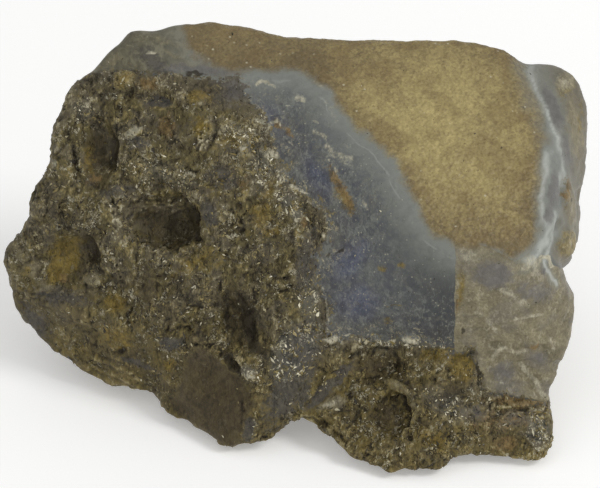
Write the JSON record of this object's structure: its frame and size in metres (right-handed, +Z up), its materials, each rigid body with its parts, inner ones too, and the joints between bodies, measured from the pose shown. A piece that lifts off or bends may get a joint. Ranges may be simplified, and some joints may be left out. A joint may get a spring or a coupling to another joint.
{
  "type": "blue lace agate stone",
  "caption": "Rough lump of blue lace agate with a pitted crust, a smooth blue face and a brown druse top, standing on a small flat spot.",
  "frame": {"origin": "under the middle of the stone, level with the flat spot it stands on", "axes": "+Z up, -Y towards the pitted front, +X to the right as seen from the front"},
  "size_m": [0.1116, 0.0688, 0.063],
  "materials": {
    "agate": "rough crust with smooth waxy faces"
  },
  "bodies": {
    "root": {"agate_stone": "agate"}
  },
  "joints": []
}
